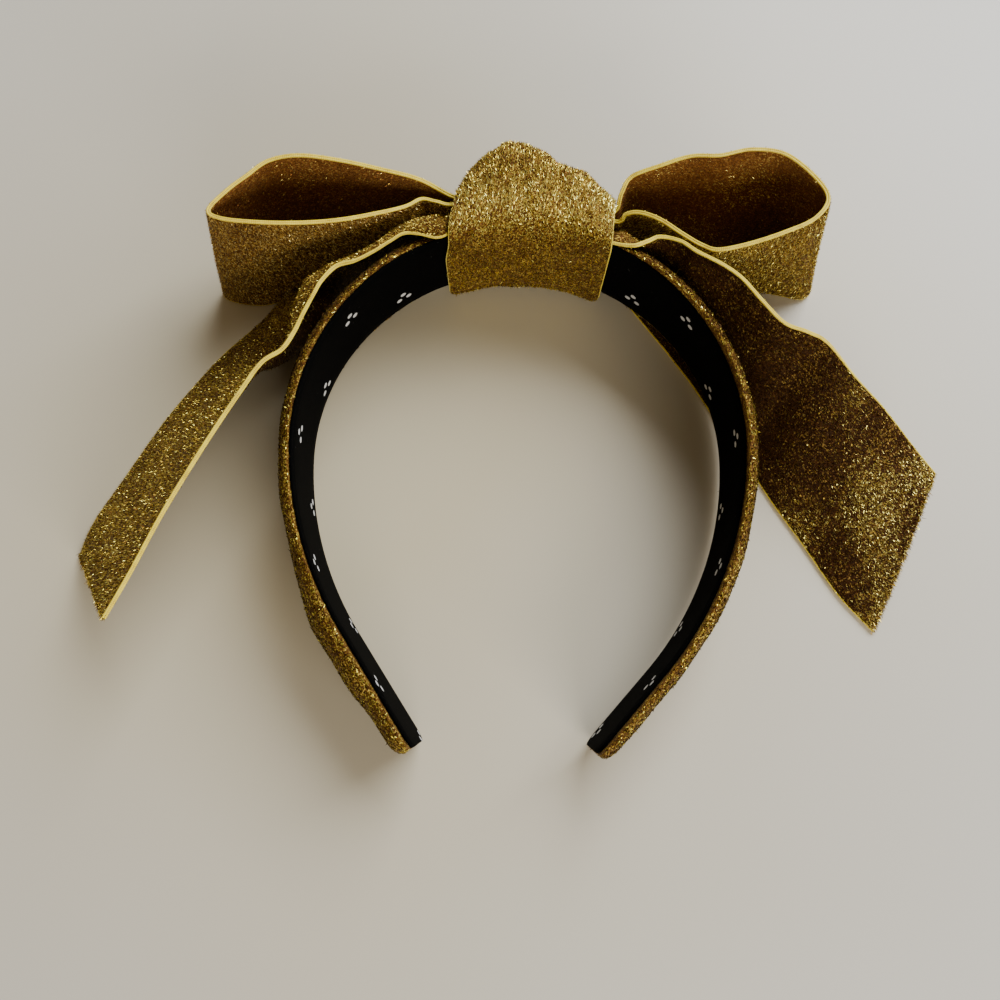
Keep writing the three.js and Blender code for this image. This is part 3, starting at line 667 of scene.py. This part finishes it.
def corded_edge(name):
    """Pale yarn wound round the edge wire: fine slanted ribs and slow colour change along it."""
    material, tree, shader = finish_base(name)
    uv = add_node(tree, "ShaderNodeTexCoord").outputs["UV"]
    parts = add_node(tree, "ShaderNodeSeparateXYZ", Vector=uv)
    slant = math_out(tree, "MULTIPLY_ADD", parts.outputs["X"], 1800.0, parts.outputs["Y"])
    rib = math_out(tree, "PINGPONG", slant, 0.5)
    place = add_node(tree, "ShaderNodeTexCoord").outputs["Object"]
    cloud = add_node(tree, "ShaderNodeTexNoise", Vector=place, Scale=300.0, Detail=3.0)
    level = math_out(tree, "MULTIPLY_ADD", rib, 0.5, math_out(tree, "MULTIPLY", cloud.outputs["Fac"], 0.8))
    stops = [(0.15, 0.44, 0.29, 0.010), (0.5, 0.90, 0.69, 0.030), (0.85, 1.0, 0.86, 0.075)]
    tree.links.new(ramp_out(tree, level, stops), shader.inputs["Base Color"])
    bump = add_node(tree, "ShaderNodeBump", Strength=0.5, Distance=0.0002, Height=rib)
    tree.links.new(bump.outputs["Normal"], shader.inputs["Normal"])
    shader.inputs["Roughness"].default_value = 0.5
    shader.inputs["Sheen Weight"].default_value = 0.3
    return material


def dark_lining(name):
    """Near-black brushed cloth with lint, printed with small trios of pale dots in a half-drop
    layout: each dot is a disc about a point of its repeat, in the cloth's own length and width."""
    material, tree, shader = finish_base(name)
    coords = add_node(tree, "ShaderNodeTexCoord")
    place = coords.outputs["Object"]
    nap = add_node(tree, "ShaderNodeTexNoise", Vector=place, Scale=1500.0, Detail=3.0)
    lint = add_node(tree, "ShaderNodeTexNoise", Vector=place, Scale=900.0, Detail=1.0)
    speck = math_out(tree, "GREATER_THAN", lint.outputs["Fac"], 0.79)
    black = [(0.3, 0.0006, 0.0006, 0.0007), (0.8, 0.0020, 0.0021, 0.0022)]
    ground = ramp_out(tree, nap.outputs["Fac"], black)
    grey = (0.03, 0.03, 0.03, 1)
    linted = add_node(tree, "ShaderNodeMix", {"data_type": "RGBA"}, i0=speck, i6=ground, i7=grey)
    parts = add_node(tree, "ShaderNodeSeparateXYZ", Vector=coords.outputs["UV"])
    row = math_out(tree, "FLOOR", math_out(tree, "DIVIDE", parts.outputs["Y"], PRINT_DROP))
    middle = math_out(tree, "MULTIPLY", math_out(tree, "ADD", row, 0.5), PRINT_DROP)
    up = math_out(tree, "SUBTRACT", parts.outputs["Y"], middle)
    repeats = math_out(tree, "DIVIDE", parts.outputs["X"], PRINT_REPEAT)
    step = math_out(tree, "MULTIPLY_ADD", row, 0.5, repeats)
    part = math_out(tree, "SUBTRACT", math_out(tree, "FRACT", step), 0.5)
    along = math_out(tree, "MULTIPLY", part, PRINT_REPEAT)
    nearest = 1.0
    for dot_along, dot_up in PRINT_DOTS:
        spot = add_node(
            tree, "ShaderNodeCombineXYZ",
            X=math_out(tree, "SUBTRACT", along, dot_along), Y=math_out(tree, "SUBTRACT", up, dot_up),
        )
        reach = add_node(tree, "ShaderNodeVectorMath", {"operation": "LENGTH"}, i0=spot.outputs[0])
        nearest = math_out(tree, "MINIMUM", reach.outputs["Value"], nearest)
    ragged = math_out(tree, "MULTIPLY_ADD", nap.outputs["Fac"], 0.0004, nearest)
    dot = math_out(tree, "LESS_THAN", ragged, PRINT_DOT_RADIUS + 0.0002)
    white = (0.62, 0.63, 0.64, 1)
    printed = add_node(tree, "ShaderNodeMix", {"data_type": "RGBA"}, i0=dot, i6=linted.outputs[2], i7=white)
    tree.links.new(printed.outputs[2], shader.inputs["Base Color"])
    bump = add_node(tree, "ShaderNodeBump", Strength=0.4, Distance=0.0002, Height=nap.outputs["Fac"])
    tree.links.new(bump.outputs["Normal"], shader.inputs["Normal"])
    shader.inputs["Roughness"].default_value = 0.9
    shader.inputs["Specular IOR Level"].default_value = 0.03
    return material


def table_top(name):
    """Matt pale laminate with a faint cloud; round the middle and left it is painted yellower, as light
    bounced off the gold cloth, and a little darker, as painted shade.
    """
    material, tree, shader = finish_base(name)
    place = add_node(tree, "ShaderNodeTexCoord").outputs["Object"]
    cloud = add_node(tree, "ShaderNodeTexNoise", Vector=place, Scale=6.0, Detail=2.0)
    # Centre of the painted bounce light and shade on the table.
    bounce_centre = (-0.05, 0.0, 0.0)
    reach = add_node(tree, "ShaderNodeVectorMath", {"operation": "DISTANCE"}, i0=place, i1=bounce_centre)
    level = math_out(tree, "MULTIPLY_ADD", cloud.outputs["Fac"], 0.1, reach.outputs["Value"])
    stops = [(0.1, 0.61, 0.545, 0.38), (0.2, 0.65, 0.61, 0.50), (0.34, 0.69, 0.685, 0.64)]
    tree.links.new(ramp_out(tree, level, stops), shader.inputs["Base Color"])
    shader.inputs["Roughness"].default_value = 0.45
    return material


BRIGHT_GROUND = [
    (0.0, 0.050, 0.015, 0.002), (0.5, 0.12, 0.042, 0.007), (0.85, 0.30, 0.17, 0.02),
    (1.0, 0.78, 0.55, 0.11),
]
DARK_GROUND = [
    (0.0, 0.020, 0.005, 0.0006), (0.6, 0.045, 0.012, 0.0015), (0.92, 0.09, 0.030, 0.004),
    (1.0, 0.42, 0.26, 0.06),
]
# Painted light: lit copy of the back's ground for the loops' insides, lighter than the ribbon's back
# elsewhere, for faces the loops' own walls keep in shade.
LIT_LOOP_GROUND = [
    (0.0, 0.12, 0.042, 0.009), (0.6, 0.23, 0.085, 0.019), (0.92, 0.36, 0.17, 0.035),
    (1.0, 0.60, 0.40, 0.10),
]
BRIGHT_YARN = [
    (0.0, 0.040, 0.012, 0.002), (0.42, 0.13, 0.052, 0.008), (0.6, 0.55, 0.36, 0.048),
    (0.85, 1.0, 0.80, 0.14), (1.0, 1.0, 0.93, 0.28),
]
# Painted shade: a redder copy of the bright yarn, for the left loop's front, which faces away from the
# window.
SHADE_REDDENED_YARN = [
    (0.0, 0.070, 0.020, 0.004), (0.42, 0.21, 0.078, 0.018), (0.6, 0.56, 0.33, 0.075),
    (0.85, 1.0, 0.71, 0.20), (1.0, 1.0, 0.86, 0.36),
]
PAD_YARN = [
    (0.0, 0.022, 0.008, 0.001), (0.4, 0.075, 0.034, 0.003), (0.62, 0.42, 0.31, 0.030),
    (0.85, 1.0, 0.89, 0.16), (1.0, 1.0, 0.97, 0.36),
]
DARK_YARN = [
    (0.0, 0.022, 0.0055, 0.0006), (0.7, 0.048, 0.013, 0.0016), (0.9, 0.42, 0.26, 0.035),
    (1.0, 1.0, 0.84, 0.22),
]
# Painted light: lit copy of the dark yarn for the loops' insides.
LIT_LOOP_YARN = [
    (0.0, 0.14, 0.050, 0.011), (0.7, 0.28, 0.11, 0.025), (0.9, 0.60, 0.40, 0.08),
    (1.0, 1.0, 0.84, 0.25),
]

pad_velvet = foil_velvet("pad_velvet", BRIGHT_GROUND, 0.7, 0.00040, 0.15)
ribbon_front = foil_velvet("ribbon_front", BRIGHT_GROUND, 0.7, 0.00036, 0.15)
ribbon_back = foil_velvet("ribbon_back", DARK_GROUND, 0.5, 0.00040, 0.05)
# Painted light: the loops' insides get a lit copy of the ribbon's back.
lit_loop_inside = foil_velvet("lit_loop_inside", LIT_LOOP_GROUND, 0.5, 0.00040, 0.1)
bright_yarn = foil_yarn("bright_yarn", BRIGHT_YARN, 0.30)
# Painted shade: the redder copy of the bright yarn.
shade_reddened_yarn = foil_yarn("shade_reddened_yarn", SHADE_REDDENED_YARN, 0.30)
pad_yarn = foil_yarn("pad_yarn", PAD_YARN, 0.28)
dark_yarn = foil_yarn("dark_yarn", DARK_YARN, 0.30)
# Painted light: lit copy of the dark yarn for the loops' insides.
lit_loop_yarn = foil_yarn("lit_loop_yarn", LIT_LOOP_YARN, 0.30)
pale_edge = corded_edge("pale_edge")
lining_cloth = dark_lining("lining_cloth")
laminate = table_top("laminate")


# Pieces

def settle(piece, slot, *nodes):
    """Puts a piece on the part's one body and hides the solids it stands for; slot is not used."""
    if nodes:
        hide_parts(*nodes)
    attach(piece, "root")
    return piece


pad = pad_grid(PAD_STEPS, PAD_SIDES)
cover = settle(ring_piece("band_velvet", pad, pad_velvet, cloth_uv(pad)), "pad_velvet", "band_cover")
pad_normals = -grid_normals(pad, True)[:, :PAD_SIDES]
pad_skin = pad[:, :PAD_SIDES]
# Painted shade on the pad's pile, lowering each blade's shade: all of the pad but the top line of its upper
# rim, much more on the crown's upper half where the bow shades it, and the lower right leg more again,
# where the lit top line is wider.
right_leg = ease(pad_skin[..., 0], 0, 30) * (1 - ease(pad_skin[..., 1], -10, 35))
pad_turn = np.linspace(0, 1, PAD_SIDES)[None, :]
below_rim_shade = 1 - ease(pad_turn + 0.09 * right_leg, 0.90, 0.985)
bow_shadow = ease(pad_skin[..., 1], 5, 40) * ease(pad_turn, 0.55, 0.75)
pad_painted_shade = -below_rim_shade * (0.4 + 1.2 * bow_shadow) - 0.4 * right_leg
pad_pile = pile_blades("band_pile", pad_skin, pad_normals, BAND_PILE, pad_painted_shade, pad_yarn, 11)
settle(pad_pile, "pad_velvet")

strip, print_map = lining_grid(LINING_STEPS, LINING_SIDES)
lining = settle(ring_piece("lining_strip", strip, lining_cloth, print_map), "lining", "band_lining")

knot_mid = tilt(knot_grid(KNOT_COLUMNS))
knot_cloth = sheet_piece("knot_wrap", knot_mid, RIBBON_WALL, ribbon_back, ribbon_front, True)
knot = settle(knot_cloth, "ribbon_velvet", "bow_knot")
knot_normals = -grid_normals(knot_mid, True)
edge_out = [unit(knot_mid[0] - knot_mid[1]), unit(knot_mid[-1] - knot_mid[-2])]
knot_lines = []
for column, outward in zip((0, -1), edge_out):
    ring = [np.concatenate([line, line[:1]]) for line in (knot_mid[column], knot_normals[column], outward)]
    knot_lines.append((*ring, KNOT_CORD_SHIFT, KNOT_CORD_RADIUS))
knot_edges = settle(edge_cords("knot_edges", knot_lines, pale_edge), "ribbon_velvet")
knot_skin = knot_mid + knot_normals * RIBBON_WALL / 2
around_skin, around_normals = (np.swapaxes(each, 0, 1) for each in (knot_skin, knot_normals))
# Painted light on the knot: blades on its lining side, which faces away from the window, are lightened,
# fading out over the dome.
knot_painted_light = 0.75 * (1 - ease(around_skin[..., 1], 66, 86))
knot_blades = pile_blades(
    "knot_pile", around_skin, around_normals, KNOT_PILE, knot_painted_light, bright_yarn, 12,
)
knot_pile = settle(knot_blades, "ribbon_velvet")


def ribbon_pieces(
    name, table, steps, ripple, bright_up, counts, front_yarn, foil, patches, behind, seed,
):
    """A ribbon with its corded edges and its pile on both sides; counts are the blades on the front
    and on the back, foil is painted light added to the front's blades, patches give where painted
    light on the back's blades starts along the ribbon and how much of it there is, and behind gives
    the back's ground and yarn."""
    grid = ribbon_grid(table, steps, RIBBON_SIDES, ripple)
    normals = grid_normals(grid)
    ground, yarn = behind
    upper, lower = (ribbon_front, ground) if bright_up else (ground, ribbon_front)
    cloth = settle(sheet_piece(name + "_ribbon", grid, RIBBON_WALL, upper, lower), "ribbon_velvet", name)
    edges = []
    for line, normal, outward in (
        (grid[:, 0], normals[:, 0], unit(grid[:, 0] - grid[:, 1])),
        (grid[:, -1], normals[:, -1], unit(grid[:, -1] - grid[:, -2])),
    ):
        for side in (-1, 1):
            edges.append((line, normal, outward, side * CORD_SPREAD, CORD_RADIUS))
    cords = settle(edge_cords(name + "_edges", edges, pale_edge), "ribbon_velvet")
    lift = RIBBON_WALL / 2
    up, down = (grid + normals * lift, normals), (grid - normals * lift, -normals)
    front, back = (up, down) if bright_up else (down, up)
    in_front = (counts[0], *RIBBON_BLADE, FRONT_LEAN)
    on_back = (counts[1], *RIBBON_BLADE, BACK_LEAN)
    # Painted light on the back's blades.
    back_painted_light = brushed(grid, *patches)
    bright = pile_blades(name + "_front_pile", *front, in_front, foil, front_yarn, seed)
    settle(bright, "ribbon_velvet")
    dark = pile_blades(name + "_back_pile", *back, on_back, back_painted_light, yarn, seed + 1)
    settle(dark, "ribbon_velvet")
    if name.startswith("tail"):
        ahead = unit(grid[-1] - grid[-3])
        cut = fringe_blades(name + "_cut", grid[-1], ahead, CUT_YARNS, bright_yarn, seed + 2)
        settle(cut, "ribbon_velvet")


# The tails' back keeps its own colours; the loops' insides take the lit copies, which are painted light.
plain_back, lit = (ribbon_back, dark_yarn), (lit_loop_inside, lit_loop_yarn)
# foil paints light on the loops' fronts; patches paint light on the backs: a lift inside the loops, most in
# the right one, and gold highlight patches towards the right tail's end.
ribbon_pieces(
    "loop_left", LOOP_LEFT, steps=260, ripple=0.2, bright_up=True,
    counts=(100000, 30000), front_yarn=shade_reddened_yarn, foil=0.45, patches=(0.0, 0.2), behind=lit, seed=21,
)
ribbon_pieces(
    "loop_right", LOOP_RIGHT, steps=280, ripple=0.2, bright_up=False,
    counts=(100000, 30000), front_yarn=bright_yarn, foil=0.3, patches=(0.0, 2.2), behind=lit, seed=31,
)
ribbon_pieces(
    "tail_left", TAIL_LEFT, steps=240, ripple=0.3, bright_up=True,
    counts=(105000, 20000), front_yarn=bright_yarn, foil=0.0, patches=(0.0, 0.1), behind=plain_back, seed=41,
)
ribbon_pieces(
    "tail_right", TAIL_RIGHT, steps=240, ripple=0.3, bright_up=False,
    counts=(30000, 95000), front_yarn=bright_yarn, foil=0.0, patches=(0.66, 1.9), behind=plain_back, seed=51,
)


# Table, light and camera

def flat_floor():
    """The table top: a square of 4 m at the part's lowest point."""
    corner = np.array([[-2, -2, 0], [2, -2, 0], [2, 2, 0], [-2, 2, 0]], float)
    piece = mesh_piece("table_top", corner, np.array([[0, 1, 2, 3]]), [laminate], smooth=False)


def soft_light(name, place, aim, size, power, colour):
    """A rectangular area light at a place, turned to face a point."""
    lamp = bpy.data.lights.new(name, "AREA")
    lamp.shape = "RECTANGLE"
    lamp.size, lamp.size_y = size
    lamp.energy = power
    lamp.color = colour
    holder = bpy.data.objects.new(name, lamp)
    bpy.context.scene.collection.objects.link(holder)
    back = unit(np.array(place, float) - np.array(aim, float))
    right = unit(np.cross([0, 0, 1.0], back))
    up = np.cross(back, right)
    turned = np.eye(4)
    turned[:3, :3] = np.stack([right, up, back], 1)
    turned[:3, 3] = place
    holder.matrix_world = Matrix(turned.tolist())


flat_floor()
soft_light("window", (0.64, 0.80, 1.0), (0, 0, 0), (1.1, 0.9), 30.0, (0.96, 0.98, 1.0))
soft_light("front", (0.45, -0.95, 0.45), (0, 0, 0), (0.8, 0.5), 10.5, (1.0, 0.94, 0.85))

world = bpy.data.worlds.new("room_air")
bpy.context.scene.world = world
world.use_nodes = True
world.node_tree.nodes["Background"].inputs["Color"].default_value = (1.0, 0.78, 0.52, 1.0)
world.node_tree.nodes["Background"].inputs["Strength"].default_value = 0.20

CAMERA_PLACE = np.array([0.000166, -0.0894165, 0.296])
CAMERA_PITCH, CAMERA_ROLL = math.radians(14.05), math.radians(0.58)
lens = bpy.data.cameras.new("viewer")
lens.sensor_width = 36.0
lens.lens = 33.48
lens.clip_start = 0.01
camera = bpy.data.objects.new("viewer", lens)
bpy.context.scene.collection.objects.link(camera)
look = np.array([0, math.sin(CAMERA_PITCH), -math.cos(CAMERA_PITCH)])
upright = np.array([0, math.cos(CAMERA_PITCH), math.sin(CAMERA_PITCH)])
side = np.array([1.0, 0, 0])
turned = np.eye(4)
turned[:3, 0] = side * math.cos(CAMERA_ROLL) + upright * math.sin(CAMERA_ROLL)
turned[:3, 1] = -side * math.sin(CAMERA_ROLL) + upright * math.cos(CAMERA_ROLL)
turned[:3, 2] = -look
turned[:3, 3] = CAMERA_PLACE
camera.matrix_world = Matrix(turned.tolist())
bpy.context.scene.camera = camera
